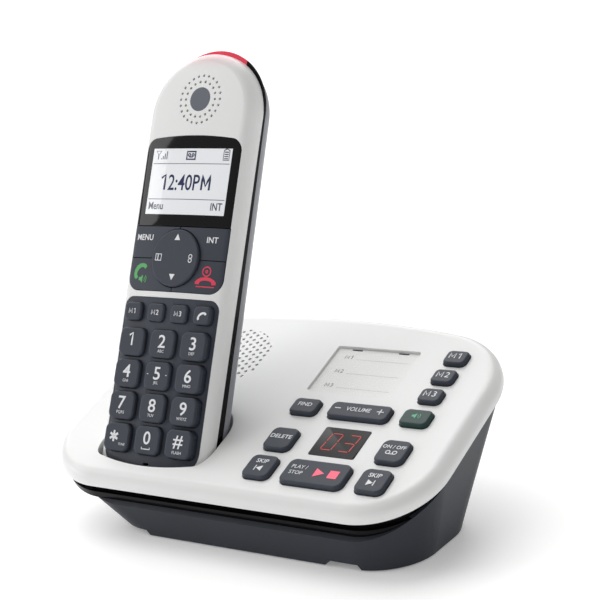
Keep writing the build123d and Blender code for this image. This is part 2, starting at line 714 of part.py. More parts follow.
screw_play = 0.1
with BuildPart() as handset_screws:
    with BuildSketch(face.offset(shell_seat - screw_play)):
        with Locations(*shell_screw_spots):
            Circle(shell_head_radius)
    extrude(amount=-shell_head_height)
    with BuildSketch(face.offset(shell_seat - screw_play)):
        with Locations(*shell_screw_spots):
            Circle(shell_shank_radius - screw_play / 2)
    extrude(amount=shell_shank_length)
    with BuildSketch(face.offset(shell_seat - screw_play - shell_head_height)):
        with Locations(*shell_screw_spots):
            Rectangle(*shell_slot[0:2])
            Rectangle(*shell_slot[1::-1])
    extrude(amount=shell_slot[2], mode=Mode.SUBTRACT)
finish(handset_screws, "handset_screws")

finish(skin(lens_outline(0), 0, lens_thickness), "screen_lens")

# Keypad panel with a hole for each key and the microphone.
key_clearance, panel_drop = 0.3, 0.25
microphone_v, microphone_slot = -45.9, (2.6, 0.9)
with BuildPart() as keypad_panel:
    add(skin(keypad_outline(0), -panel_drop, panel_thickness).part)
    for spot, size, radius in key_spots:
        with BuildSketch(on_face(*spot, cut_above)):
            RectangleRounded(size[0] + 2 * key_clearance, size[1] + 2 * key_clearance, radius)
        extrude(amount=-(cut_above + cut_below), mode=Mode.SUBTRACT)
    with BuildSketch(on_face(0, microphone_v, cut_above)):
        SlotOverall(*microphone_slot)
    extrude(amount=-(cut_above + cut_below), mode=Mode.SUBTRACT)
finish(keypad_panel, "keypad_panel")

key_foot, key_edge, small_key_drop = 5.6, 0.8, 0.1
face_axis = Axis(face.origin, face.z_dir)
for (name, (u, v)), (_, size, radius) in zip({**small_keys, **digit_keys}.items(), key_spots):
    with BuildPart() as handset_key:
        with BuildSketch(on_face(u, v, -small_key_drop if name in small_keys else 0)):
            RectangleRounded(*size, radius)
        extrude(amount=-key_foot)
        fillet(handset_key.faces().sort_by(face_axis)[-1].edges(), key_edge)
    finish(handset_key, name)

# Four control keys share the block around the round navigation key.
nav_clearance, nav_thickness, nav_edge, block_rise = 0.3, 4.6, 0.6, 0.15
quarter = 40.0
control_keys = {"key_menu": (-1, 1), "key_intercom": (1, 1), "key_talk": (-1, -1), "key_end": (1, -1)}
for name, (side, level) in control_keys.items():
    shift = quarter / 2 + nav_clearance / 2
    with BuildPart() as control_key:
        add(skin(block_outline(0), block_rise, block_thickness).part)
        with BuildSketch(on_face(side * shift, nav_v - nav_clearance + level * shift, cut_above)):
            Rectangle(quarter, quarter)
        extrude(amount=-(cut_above + cut_below), mode=Mode.INTERSECT)
        with BuildSketch(on_face(0, nav_v, cut_above)):
            Circle(nav_radius + nav_clearance)
        extrude(amount=-(cut_above + cut_below), mode=Mode.SUBTRACT)
    finish(control_key, name)

with BuildPart() as nav_pad:
    with BuildSketch(on_face(0, nav_v, nav_rise)):
        Circle(nav_radius)
    extrude(amount=-nav_thickness)
    fillet(nav_pad.faces().sort_by(face_axis)[-1].edges(), nav_edge)
finish(nav_pad, "nav_pad")

# Inside the handset.
lcd_v, lcd_top, lcd_size, lcd_thickness = 61.5, -3.4, (41.0, 31.0), 3.6
finish(plate(on_face(0, lcd_v, lcd_top), *lcd_size, 1.0, lcd_thickness), "lcd_module")

capsule_top, capsule_radius, capsule_rim = -3.0, 11.0, 1.2
magnet_radius, magnet_height = 7.5, 3.0
with BuildPart() as earpiece:
    with BuildSketch(on_face(0, earpiece_v, capsule_top)):
        Circle(capsule_radius)
    extrude(amount=-capsule_rim)
    with BuildSketch(on_face(0, earpiece_v, capsule_top - capsule_rim)):
        Circle(magnet_radius)
    extrude(amount=-magnet_height)
finish(earpiece, "earpiece")

# Main board, with a radio chip behind it and the microphone in front of its foot.
main_v, main_top, main_size, main_thickness = 17.0, -7.6, (43.0, 128.0), 1.0
radio_v, radio_side = -32.0, 12.0
capsule_v, microphone_radius, microphone_height = -42.0, 2.0, 1.0
with BuildPart() as handset_circuit_board:
    with BuildSketch(on_face(0, main_v, main_top)):
        RectangleRounded(*main_size, 4)
        with Locations(*[(x, v - main_v) for x, v in shell_screw_spots]):
            Circle(shell_shank_radius + 0.3, mode=Mode.SUBTRACT)
    extrude(amount=-main_thickness)
    with BuildSketch(on_face(0, radio_v, main_top - main_thickness)):
        Rectangle(radio_side, radio_side)
    extrude(amount=-chip_height)
    with BuildSketch(on_face(0, capsule_v, main_top)):
        Circle(microphone_radius)
    extrude(amount=microphone_height)
finish(handset_circuit_board, "handset_circuit_board")

cell_radius, cell_length, cell_foot = 5.15, 44.0, 2.0
cell_spots = [(-5.6, 14.6), (5.6, 14.6)]
terminal_radius, terminal_height = 1.8, 1.0
with BuildPart() as battery_cells:
    with BuildSketch(across(cell_foot)):
        with Locations(*cell_spots):
            Circle(cell_radius)
    extrude(amount=cell_length - terminal_height)
    with BuildSketch(across(cell_foot + cell_length - terminal_height)):
        with Locations(*cell_spots):
            Circle(terminal_radius)
    extrude(amount=terminal_height)
finish(battery_cells, "battery_cells")

with BuildPart() as charge_pads:
    add(contact_pair(handset_foot + pad_thickness, handset_foot, pad_overlap))
finish(charge_pads, "charge_pads")
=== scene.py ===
"""Cordless telephone on its answering-machine base: camera, light and finished surfaces."""
import bpy
import json
from math import cos, radians, sin
from mathutils import Matrix, Vector

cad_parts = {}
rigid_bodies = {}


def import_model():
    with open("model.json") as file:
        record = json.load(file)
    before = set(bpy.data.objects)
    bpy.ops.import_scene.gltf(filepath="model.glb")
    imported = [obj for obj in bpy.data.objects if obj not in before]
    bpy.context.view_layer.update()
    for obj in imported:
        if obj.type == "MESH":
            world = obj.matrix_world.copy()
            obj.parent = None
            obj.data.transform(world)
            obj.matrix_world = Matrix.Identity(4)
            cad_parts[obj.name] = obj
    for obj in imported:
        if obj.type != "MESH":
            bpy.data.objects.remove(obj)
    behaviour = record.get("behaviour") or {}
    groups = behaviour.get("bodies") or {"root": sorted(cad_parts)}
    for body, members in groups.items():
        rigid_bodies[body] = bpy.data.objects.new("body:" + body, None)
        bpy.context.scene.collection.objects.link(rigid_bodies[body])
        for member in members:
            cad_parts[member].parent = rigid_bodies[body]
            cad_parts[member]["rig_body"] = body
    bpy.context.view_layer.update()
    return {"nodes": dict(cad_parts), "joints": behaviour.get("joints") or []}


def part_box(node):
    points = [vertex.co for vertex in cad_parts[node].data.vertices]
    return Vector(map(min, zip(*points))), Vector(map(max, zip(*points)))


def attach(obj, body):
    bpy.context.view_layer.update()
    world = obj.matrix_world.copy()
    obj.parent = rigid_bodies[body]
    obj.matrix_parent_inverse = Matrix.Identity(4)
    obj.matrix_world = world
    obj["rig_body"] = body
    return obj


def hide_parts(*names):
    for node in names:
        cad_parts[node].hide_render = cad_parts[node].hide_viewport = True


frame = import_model()

# ---------------------------------------------------------------- camera
# A long lens a little above the desk, to the right of the phone and tilted seven degrees.
azimuth, elevation, roll = radians(35.4), radians(15.2), radians(7.0)
aim = Vector((0.0537, -0.0539, 0.0985))
distance = 0.5246
forward = Vector((-sin(azimuth) * cos(elevation), cos(azimuth) * cos(elevation), -sin(elevation)))
level = Vector((cos(azimuth), sin(azimuth), 0))
upright = level.cross(forward)
tilted_x = cos(roll) * level - sin(roll) * upright
tilted_y = sin(roll) * level + cos(roll) * upright
bpy.ops.object.camera_add()
camera = bpy.context.object
camera.matrix_world = Matrix.Translation(aim - distance * forward) @ Matrix(
    (tilted_x, tilted_y, -forward)
).transposed().to_4x4()
camera.data.lens = 97.8
camera.data.sensor_width = 36
camera.data.clip_start = 0.01
bpy.context.scene.camera = camera


# ---------------------------------------------------------------- desk and light
# A pale seamless desk under an even white sky.  A broad soft sun comes from the left, and two
# light cards stand to the left, where the gloss parts mirror them.
phone_middle = Vector((0, 0, 0.06))
drift_scale, drift_ends = 35, (0.35, 0.65)


def paint(name, colour, roughness, grain=0.0, grain_size=0.0005, shade=0.04, **more):
    """Moulded or painted surface: its colour drifts slightly and its skin has a fine grain."""
    finish = bpy.data.materials.new(name)
    finish.use_nodes = True
    nodes, links = finish.node_tree.nodes, finish.node_tree.links
    shader = nodes["Principled BSDF"]
    shader.inputs["Roughness"].default_value = roughness
    for socket, value in more.items():
        shader.inputs[socket.replace("_", " ")].default_value = value
    place = nodes.new("ShaderNodeTexCoord")
    drift = nodes.new("ShaderNodeTexNoise")
    drift.inputs["Scale"].default_value = drift_scale
    drift.inputs["Detail"].default_value = 3
    tone = nodes.new("ShaderNodeValToRGB")
    tone.name = "tone"
    dark, light = tone.color_ramp.elements
    dark.position, light.position = drift_ends
    dark.color = (*[c * (1 - shade) for c in colour], 1)
    light.color = (*colour, 1)
    links.new(place.outputs["Object"], drift.inputs["Vector"])
    links.new(drift.outputs["Fac"], tone.inputs["Fac"])
    links.new(tone.outputs["Color"], shader.inputs["Base Color"])
    if grain:
        skin = nodes.new("ShaderNodeTexNoise")
        skin.inputs["Scale"].default_value = 1 / grain_size
        skin.inputs["Detail"].default_value = 2
        bump = nodes.new("ShaderNodeBump")
        bump.inputs["Strength"].default_value = grain
        bump.inputs["Distance"].default_value = grain_size / 5
        links.new(place.outputs["Object"], skin.inputs["Vector"])
        links.new(skin.outputs["Fac"], bump.inputs["Height"])
        links.new(bump.outputs["Normal"], shader.inputs["Normal"])
    return finish


def white_card(name, bearing, height, reach, size, power):
    """Light card at a bearing left of straight ahead, turned towards the phone."""
    where = Vector((-reach * sin(radians(bearing)), -reach * cos(radians(bearing)), height))
    bpy.ops.object.light_add(type="AREA", location=where)
    card = bpy.context.object
    card.name = name
    card.data.shape = "RECTANGLE"
    card.data.size, card.data.size_y = size
    card.data.energy = power
    card.rotation_euler = (phone_middle - where).to_track_quat("-Z", "Y").to_euler()


bpy.ops.object.select_all(action="DESELECT")
bpy.ops.mesh.primitive_plane_add(size=9, location=(0, 0, 0))
desk = bpy.context.object
desk.name = "desk"
pale_desk = paint("pale_desk", (0.95, 0.95, 0.95), 0.6, shade=0.01,
                  Emission_Color=(1, 1, 1, 1), Emission_Strength=0.2)
desk.data.materials.append(pale_desk)
bpy.ops.object.light_add(type="SUN", rotation=(radians(-28), radians(-34), 0))
sun = bpy.context.object
sun.data.energy = 2.25
sun.data.angle = radians(65)
white_card("lens_card", bearing=66, height=1.0, reach=1.45, size=(0.75, 0.8), power=5)
white_card("lip_card", bearing=62, height=0.26, reach=1.5, size=(0.95, 0.26), power=3.5)
world = bpy.data.worlds.new("studio")
bpy.context.scene.world = world
world.use_nodes = True
sky = world.node_tree.nodes["Background"]
sky.inputs["Color"].default_value = (1, 0.995, 0.985, 1)
sky.inputs["Strength"].default_value = 0.44
bpy.context.scene.view_settings.view_transform = "Standard"


# ---------------------------------------------------------------- base top shell
# One white moulding: the sloping deck, its rounded rim and the cradle well.  Satin plastic
# with a soft sheen; it snaps over the lower housing.
def finished(node, finish, edge=0.0, angle=32, segments=2, flat_faces=True):
    """Moulded copy of a part: joined skin, eased sharp edges and smooth faces between them."""
    part = frame["nodes"][node]
    bpy.ops.object.select_all(action="DESELECT")
    piece = bpy.data.objects.new(node + "_moulding", part.data.copy())
    bpy.context.collection.objects.link(piece)
    piece.select_set(True)
    bpy.context.view_layer.objects.active = piece
    bpy.ops.object.mode_set(mode="EDIT")
    bpy.ops.mesh.select_all(action="SELECT")
    bpy.ops.mesh.remove_doubles(threshold=0.000002)
    if edge and flat_faces:
        bpy.ops.mesh.dissolve_limited(angle_limit=radians(0.5))
    bpy.ops.object.mode_set(mode="OBJECT")
    if edge:
        ease = piece.modifiers.new("ease", "BEVEL")
        ease.width = edge
        ease.segments = segments
        ease.limit_method = "ANGLE"
        ease.angle_limit = radians(angle)
        ease.use_clamp_overlap = True
        bpy.ops.object.modifier_apply(modifier=ease.name)
    bpy.ops.object.shade_smooth_by_angle(angle=radians(angle))
    even = piece.modifiers.new("even", "WEIGHTED_NORMAL")
    even.keep_sharp = True
    bpy.ops.object.modifier_apply(modifier=even.name)
    piece.data.materials.clear()
    piece.data.materials.append(finish)
    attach(piece, part["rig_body"])
    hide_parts(node)
    return piece


white_plastic = paint("white_plastic", (0.80, 0.805, 0.80), 0.34, grain=0.05, shade=0.015,
                      Coat_Weight=0.10, Coat_Roughness=0.25)
finished("base_top_shell", white_plastic, edge=0.00035)

# ---------------------------------------------------------------- trim and lower housing
# Under the white rim runs a black gloss moulding with a shadow groove and a rounded lip.
# It sits on the slate-grey lower housing, which tapers to a smaller footprint.
black_gloss = paint("black_gloss", (0.003, 0.003, 0.004), 0.16, shade=0.2, Specular_IOR_Level=0.10)
slate_plastic = paint("slate_plastic", (0.017, 0.021, 0.031), 0.45, grain=0.3, shade=0.06,
                      Specular_IOR_Level=0.35)
finished("trim_band", black_gloss, edge=0.0009, angle=40, segments=4)
finished("base_bottom_housing", slate_plastic, edge=0.0004)

# ---------------------------------------------------------------- feet and screws
# Four soft black pads sit in round pockets under the base.  Plated cross-head screws, four in
# the base and two in the handset's back, hold the shells together.
def coated(node, finish):
    """A part whose own shape is kept and which only takes a finish."""
    part = frame["nodes"][node]
    part.data.materials.clear()
    part.data.materials.append(finish)


black_rubber = paint("black_rubber", (0.012, 0.012, 0.013), 0.75, grain=0.4, shade=0.2)
plated_steel = paint("plated_steel", (0.52, 0.52, 0.54), 0.28, grain=0.15, shade=0.12, Metallic=1.0)
coated("base_feet", black_rubber)
coated("base_screws", plated_steel)
coated("handset_screws", plated_steel)


# ---------------------------------------------------------------- base keys
# Slate soft-touch keys come up through holes in the deck and rest on the rubber mat below it.
# Their names are pad printed, and the speaker key is a dark translucent green.
def slope(normal):
    """Turn from a flat drawing to a sloping face: x stays level and y runs up the face."""
    sideways = Vector((1, 0, 0))
    return Matrix((sideways, normal.cross(sideways), normal)).transposed()


def press_axis(joint):
    """Direction in which a key is pressed."""
    return Vector(next(j["axis"] for j in frame["joints"] if j["name"] == joint))


deck_turn = slope(-press_axis("key_m1_press"))
face_turn = slope(-press_axis("key_5_press"))
top_depth = 0.0005


def top_of(node, turn):
    """Middle of a part's top, measured along the sloping face's own directions."""
    points = [turn.transposed() @ vertex.co for vertex in frame["nodes"][node].data.vertices]
    peak = max(point.z for point in points)
    top = [point for point in points if point.z > peak - top_depth]
    middle = [(min(p[i] for p in top) + max(p[i] for p in top)) / 2 for i in (0, 1)]
    return Vector((*middle, peak))


# Printing is drawn in millimetres: its half thickness, its height over the surface, the share
# of a letter's size that a capital fills, and the spacing of knots along a stroke.  It is then
# laid on its piece from a drop height, in metres, above it.
print_thickness, print_lift = 0.02, 0.03
capital_share = 0.729
knot_spacing = 2
millimetres_per_metre = 1000
drop_height = 0.01


def drawn_text(words, x, y, height, squeeze=1.0, weight=0.0):
    """Flat lettering, centred on (x, y), with capitals of one height."""
    bpy.ops.object.text_add()
    item = bpy.context.object
    item.data.body = words
    item.data.size = height / capital_share
    item.data.offset = weight
    item.data.extrude = print_thickness
    item.data.resolution_u = 3
    bpy.ops.object.convert(target="MESH")
    low = [min(vertex.co[i] for vertex in item.data.vertices) for i in (0, 1)]
    high = [max(vertex.co[i] for vertex in item.data.vertices) for i in (0, 1)]
    item.data.transform(Matrix.Translation((-(low[0] + high[0]) / 2, -(low[1] + high[1]) / 2, 0)))
    item.data.transform(Matrix.Diagonal((squeeze, 1, 1, 1)))
    item.data.transform(Matrix.Translation((x, y, 0)))
    return item


def drawn_path(points, width=0.0, closed=False):
    """Flat filled outline, or a rounded stroke where a width is given."""
    if width and not closed:
        knots = [points[0]]
        for (x0, y0), (x1, y1) in zip(points, points[1:]):
            length = ((x1 - x0) ** 2 + (y1 - y0) ** 2) ** 0.5
            pieces = max(1, round(length / knot_spacing))
            shares = [i / pieces for i in range(1, pieces + 1)]
            knots += [(x0 + (x1 - x0) * share, y0 + (y1 - y0) * share) for share in shares]
        points = knots
    path = bpy.data.curves.new("path", "CURVE")
    spline = path.splines.new("POLY")
    spline.points.add(len(points) - 1)
    for knot, (x, y) in zip(spline.points, points):
        knot.co = (x, y, 0, 1)
    spline.use_cyclic_u = closed or not width
    if width:
        path.dimensions = "3D"
        path.bevel_depth = width / 2
        path.bevel_resolution = 1
        path.use_fill_caps = True
    else:
        path.dimensions = "2D"
        path.fill_mode = "BOTH"
        path.extrude = print_thickness
    item = bpy.data.objects.new("path", path)
    bpy.context.collection.objects.link(item)
    bpy.ops.object.select_all(action="DESELECT")
    item.select_set(True)
    bpy.context.view_layer.objects.active = item
    bpy.ops.object.convert(target="MESH")
    item = bpy.context.object
    if width:
        item.data.transform(Matrix.Diagonal((1, 1, 2 * print_thickness / width, 1)))
    return item


def printed(name, surface, turn, spot, items, finish):
    """Join flat drawings in millimetres and lay them on a part's surface around a spot."""
    bpy.ops.object.select_all(action="DESELECT")
    for item in items:
        item.select_set(True)
    bpy.context.view_layer.objects.active = items[0]
    if len(items) > 1:
        bpy.ops.object.join()
    piece = items[0]
    piece.name = name
    bpy.context.view_layer.update()
    outward = turn.col[2]
    for vertex in piece.data.vertices:
        x, y, z = vertex.co / millimetres_per_metre
        above = turn @ Vector((spot.x + x, spot.y + y, spot.z + drop_height))
        found, place, _, _ = surface.ray_cast(above, -outward)
        if not found:
            place = turn @ Vector((spot.x + x, spot.y + y, spot.z))
        vertex.co = place + (z + print_lift / millimetres_per_metre) * outward
    piece.data.materials.clear()
    piece.data.materials.append(finish)
    for face in piece.data.polygons:
        face.material_index = 0
    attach(piece, surface["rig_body"])
    return piece


def arc(x, y, radius, start, end, steps=10):
    """Points along an arc, angles in degrees."""
    angles = [radians(start + (end - start) * i / steps) for i in range(steps + 1)]
    return [(x + radius * cos(a), y + radius * sin(a)) for a in angles]


def turned(points, degrees, x=0.0, y=0.0):
    """Points turned about the origin and moved to (x, y)."""
    c, s = cos(radians(degrees)), sin(radians(degrees))
    return [(x + c * px - s * py, y + s * px + c * py) for px, py in points]


def ring(x, y, radius, width, steps):
    """Printed ring with a number of straight steps."""
    return drawn_path(arc(x, y, radius, 0, 360, steps), width, closed=True)


def box(left, right, low, high):
    """Corners of an upright rectangle."""
    return [(left, low), (right, low), (right, high), (left, high)]


def speaker_sign(x, y, size):
    """Small loudspeaker with two sound waves."""
    horn = [(-1.5, -0.5), (-0.8, -0.5), (0.1, -1.3), (0.1, 1.3), (-0.8, 0.5), (-1.5, 0.5)]
    wave_radii, wave_reach, wave_width = (0.95, 1.65), 42, 0.3
    sign = [drawn_path([(x + size * px, y + size * py) for px, py in horn])]
    for radius in wave_radii:
        wave = arc(0, 0, radius, -wave_reach, wave_reach)
        sign.append(drawn_path([(x + size * px, y + size * py) for px, py in wave], wave_width * size))
    return sign


def receiver_sign(x, y, size, degrees, bow=1.0):
    """Telephone receiver, two units wide: a bowed grip with a cup at each end."""
    half = [
        (0, 0.44), (0.45, 0.36), (0.8, 0.14), (1.0, -0.12), (0.98, -0.36),
        (0.62, -0.40), (0.56, -0.12), (0.3, 0.03), (0, 0.06),
    ]
    shape = half + [(-px, py) for px, py in reversed(half[1:-1])]
    return drawn_path(turned([(size * px, size * bow * py) for px, py in shape], degrees, x, y))


def figure_one(x, y, height, weight):
    """The figure 1 with its flag, in one even stroke."""
    points = [(-0.24, 0.27), (0.06, 0.46), (0.06, -0.46)]
    return drawn_path([(x + height * px, y + height * py) for px, py in points], weight)


def letter_m(x, y, width, height, weight):
    """The letter M in one even stroke."""
    points = [(-0.5, -0.46), (-0.5, 0.46), (0, -0.22), (0.5, 0.46), (0.5, -0.46)]
    return drawn_path([(x + width * px, y + height * py) for px, py in points], weight)


def memory_name(number, x, y, height, weight):
    """M with the number of a memory beside it."""
    step = 0.5 * height
    name = letter_m(x - step, y, width=0.72 * height, height=height, weight=0.17 * height)
    if number == 1:
        return [name, figure_one(x + step, y, height, weight=0.2 * height)]
    return [name, drawn_text(str(number), x + step, y, height, squeeze=0.95, weight=weight)]


slate_rubber = paint("slate_rubber", (0.036, 0.043, 0.060), 0.52, grain=0.12, shade=0.05,
                     Specular_IOR_Level=0.35)
green_rubber = paint("green_rubber", (0.016, 0.048, 0.042), 0.48, grain=0.12, shade=0.05,
                     Specular_IOR_Level=0.35)
white_ink = paint("white_ink", (0.78, 0.79, 0.82), 0.5, shade=0.04)
# Pink and green inks: real print colours with a faint painted glow added as emission, though the keys
# hold no lamp.
pink_ink_painted_glow = paint("pink_ink_painted_glow", (0.85, 0.10, 0.17), 0.45, shade=0.06,
                 Emission_Color=(1, 0.12, 0.2, 1), Emission_Strength=0.25)
green_ink_painted_glow = paint("green_ink_painted_glow", (0.06, 0.38, 0.20), 0.45, shade=0.06,
                  Emission_Color=(0.1, 0.8, 0.4, 1), Emission_Strength=0.05)
thin_line, line = 0.42, 0.45


def base_key(name, *groups):
    """One deck key with its printing: each group is an ink with its drawings."""
    finish = green_rubber if name == "key_speaker" else slate_rubber
    key = finished(name, finish)
    spot = top_of(name, deck_turn)
    for number, (ink, items) in enumerate(groups):
        printed(f"{name}_print_{number}", key, deck_turn, spot, items, ink)


for number in (1, 2, 3):
    base_key(f"key_m{number}", (white_ink, memory_name(number, 0, 0.4, 3.0, weight=0.02)))
base_key("key_find", (white_ink, [drawn_text("FIND", -0.1, 0.5, 2.0, weight=0.03)]))
base_key("key_delete", (white_ink, [drawn_text("DELETE", 0, 0.7, 2.0, weight=0.03)]))
base_key("key_volume", (white_ink, [
    drawn_text("VOLUME", -0.4, 0.4, 2.1, squeeze=0.92, weight=0.01),
    drawn_path([(-10.4, 0.3), (-7.9, 0.3)], line),
    drawn_path([(7.4, 0.3), (10.2, 0.3)], line),
    drawn_path([(8.8, -1.1), (8.8, 1.7)], line),
]))
base_key("key_speaker", (green_ink_painted_glow, speaker_sign(0, 0.3, 1.05)))
base_key("key_on_off", (white_ink, [
    drawn_text("ON / OFF", 0, 1.9, 1.7, squeeze=0.95, weight=0.03),
    ring(-1.35, -0.9, 0.8, thin_line, 16),
    ring(1.35, -0.9, 0.8, thin_line, 16),
    drawn_path([(-1.35, -1.7), (1.35, -1.7)], thin_line),
]))
for name, side in (("key_skip_back", -1), ("key_skip_forward", 1)):
    base_key(name, (white_ink, [
        drawn_text("SKIP", 0, 2.3, 2.0, weight=0.03),
        drawn_path([(-side * 1.6, 0.0), (-side * 1.6, -2.8), (side * 0.8, -1.4)]),
        drawn_path([(side * 1.2, -0.1), (side * 1.2, -2.7)], line),
    ]))
base_key(
    "key_play_stop",
    (white_ink, [
        drawn_text("PLAY /", -7.2, 1.8, 1.8, squeeze=0.95),
        drawn_text("STOP", -7.4, -1.1, 1.8, squeeze=0.95),
    ]),
    (pink_ink_painted_glow, [
        drawn_path([(-0.1, 2.1), (-0.1, -2.2), (3.9, -0.05)]),
        drawn_path([(5.7, 1.8), (5.7, -2.0), (9.5, -2.0), (9.5, 1.8)]),
    ]),
)

# ---------------------------------------------------------------- message display
# A smoked window, glued almost flush into the deck, with a two-digit red display under it.
# The lit bars are laid on the window, where they are seen.
smoked_gloss = paint("smoked_gloss", (0.010, 0.008, 0.009), 0.28, shade=0.1, Specular_IOR_Level=0.25)
display = finished("display_window", smoked_gloss)
red_segment = paint("red_segment", (0.42, 0.02, 0.02), 0.4, shade=0.1,
                    Emission_Color=(1, 0.05, 0.04, 1), Emission_Strength=0.22)
digit_width, digit_height, digit_lean = 4.4, 8.6, 0.12
bar_share = (0.07, 0.93)
segment_ends = {
    "a": ((0, 2), (1, 2)), "b": ((1, 2), (1, 1)), "c": ((1, 1), (1, 0)), "d": ((0, 0), (1, 0)),
    "e": ((0, 1), (0, 0)), "f": ((0, 2), (0, 1)), "g": ((0, 1), (1, 1)),
}


def digit(x, lit):
    """Lit bars of one seven-bar digit, leaning right, with small gaps between the bars."""
    bars = []
    for name in lit:
        (x0, y0), (x1, y1) = segment_ends[name]
        ends = []
        for share in bar_share:
            px = (x0 + share * (x1 - x0) - 0.5) * digit_width
            py = ((y0 + share * (y1 - y0)) / 2 - 0.5) * digit_height
            ends.append((x + px + digit_lean * py, py))
        bars.append(drawn_path(ends, thin_line))
    return bars


printed("message_count", display, deck_turn, top_of("display_window", deck_turn),
        digit(-3.3, "abcdef") + digit(4.1, "abcdg"), red_segment)

# ---------------------------------------------------------------- index card
# A printed card lies in a shallow recess of the deck under a clear sheet, which lifts out by
# two finger slots along its upper edge.
card_paper = paint("card_paper", (0.93, 0.93, 0.92), 0.7, grain=0.1, shade=0.02)
clear_sheet = paint("clear_sheet", (0.95, 0.95, 0.95), 0.12, shade=0.01, Alpha=0.03)
grey_ink = paint("grey_ink", (0.22, 0.22, 0.23), 0.6, shade=0.1)
faint_ink = paint("faint_ink", (0.62, 0.62, 0.62), 0.6, shade=0.05)
slot_shade = paint("slot_shade", (0.04, 0.04, 0.045), 0.8, shade=0.1)
card = finished("index_card", card_paper)
coated("card_cover", clear_sheet)
card_middle = top_of("index_card", deck_turn)
row_heights, slot_places, slot_half_width = (8.2, -0.2, -8.6), (-9.7, 10.8), 2.2
rule_width = 0.16
for row, height in enumerate(row_heights):
    printed(f"card_name_{row + 1}", card, deck_turn, card_middle,
            memory_name(row + 1, -11.0, height + 0.1, 2.1, weight=0.0), grey_ink)
    rule = drawn_path([(-7.5, height - 1.0), (15.5, height - 1.0)], rule_width)
    printed(f"card_line_{row + 1}", card, deck_turn, card_middle, [rule], faint_ink)
# Painted shade: dark strips are printed on the card under the cover's two finger slots, standing for the
# shade inside them.
slot_shade_strips = [drawn_path(box(x - slot_half_width, x + slot_half_width, 12.2, 12.9)) for x in slot_places]
printed("card_slot_painted_shade", card, deck_turn, card_middle, slot_shade_strips, slot_shade)

# ---------------------------------------------------------------- base, inside
# The circuit board with its rubber key mat, the loudspeaker under its grille, the charging
# contacts in the cradle's floor and the two sockets in the back wall.
green_board = paint("green_board", (0.015, 0.11, 0.045), 0.35, grain=0.1, shade=0.3)
dark_module = paint("dark_module", (0.03, 0.03, 0.035), 0.5, grain=0.2, shade=0.15)
grey_silicone = paint("grey_silicone", (0.32, 0.32, 0.33), 0.6, grain=0.1, shade=0.08)
paper_cone = paint("paper_cone", (0.015, 0.015, 0.016), 0.7, grain=0.5, shade=0.25)
gold_plate = paint("gold_plate", (0.80, 0.66, 0.38), 0.22, grain=0.05, shade=0.1, Metallic=1.0)
socket_black = paint("socket_black", (0.012, 0.012, 0.014), 0.4, grain=0.1, shade=0.15)
for node, finish in {
    "base_circuit_board": green_board, "base_key_mat": grey_silicone, "display_module": dark_module,
    "loudspeaker": paper_cone, "charge_contacts": gold_plate, "power_jack": socket_black,
    "line_jack": socket_black,
}.items():
    coated(node, finish)

# ---------------------------------------------------------------- handset shells
# White front shell, black band and grey back shell with its battery door, screwed together
# from behind.  The band's crown is a red lens; its pink glow on the white plastic beside it
# is a painted glow in the plastic's colour, not light cast by the lens.
# Painted glow: a pink band in the white's colour around the red lens. These give how far it runs below
# and above the lens, its strongest share and its colour.
painted_glow_below, painted_glow_above, painted_glow_most = 0.0065, 0.0045, 0.5
painted_glow_pink = (0.95, 0.16, 0.24, 1)
lamp_middle = face_turn.transposed() @ (sum(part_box("light_lens"), Vector()) / 2)
handset_white = paint("handset_white", (0.80, 0.805, 0.80), 0.34, grain=0.05, shade=0.015,
                      Coat_Weight=0.10, Coat_Roughness=0.25)
# The painted pink glow is mixed into the white's base colour by height along the face.
tree = handset_white.node_tree
place = tree.nodes.new("ShaderNodeTexCoord")
along = tree.nodes.new("ShaderNodeVectorMath")
along.operation = "DOT_PRODUCT"
along.inputs[1].default_value = face_turn.col[1]
reach = tree.nodes.new("ShaderNodeMapRange")
reach.inputs["From Min"].default_value = lamp_middle.y - painted_glow_below
reach.inputs["From Max"].default_value = lamp_middle.y + painted_glow_above
reach.inputs["To Max"].default_value = painted_glow_most
reach.interpolation_type = "SMOOTHERSTEP"
painted_glow_mix = tree.nodes.new("ShaderNodeMixRGB")
painted_glow_mix.inputs["Color2"].default_value = painted_glow_pink
tree.links.new(place.outputs["Object"], along.inputs[0])
tree.links.new(along.outputs["Value"], reach.inputs["Value"])
tree.links.new(reach.outputs["Result"], painted_glow_mix.inputs["Fac"])
tree.links.new(tree.nodes["tone"].outputs["Color"], painted_glow_mix.inputs["Color1"])
tree.links.new(painted_glow_mix.outputs["Color"], tree.nodes["Principled BSDF"].inputs["Base Color"])
grey_plastic = paint("grey_plastic", (0.26, 0.27, 0.30), 0.38, grain=0.15, shade=0.04)
front_shell = finished("handset_front_shell", handset_white, edge=0.0002)
finished("handset_band", black_gloss, edge=0.0003, angle=40)
finished("handset_back_shell", grey_plastic, edge=0.0002)
finished("battery_door", grey_plastic, edge=0.0002)
red_lens = paint("red_lens", (0.62, 0.02, 0.05), 0.12, shade=0.25, Coat_Weight=0.6,
                 Emission_Color=(1, 0.05, 0.12, 1), Emission_Strength=0.3)
finished("light_lens", red_lens, edge=0.0003, angle=40)

# ---------------------------------------------------------------- earpiece
# A plain slate badge is stuck on in the middle of the sound holes, and the receiver capsule
# sits behind them.
coated("earpiece", paper_cone)
badge_radius, badge_corners = 4.7, 32
badge_face = top_of("earpiece", face_turn)
badge_finish = paint("badge_finish", (0.10, 0.11, 0.14), 0.4, grain=0.1, shade=0.05)
printed("earpiece_badge", front_shell, face_turn, badge_face,
        [drawn_path(arc(0, 0, badge_radius, 0, 360, badge_corners)[:-1])], badge_finish)

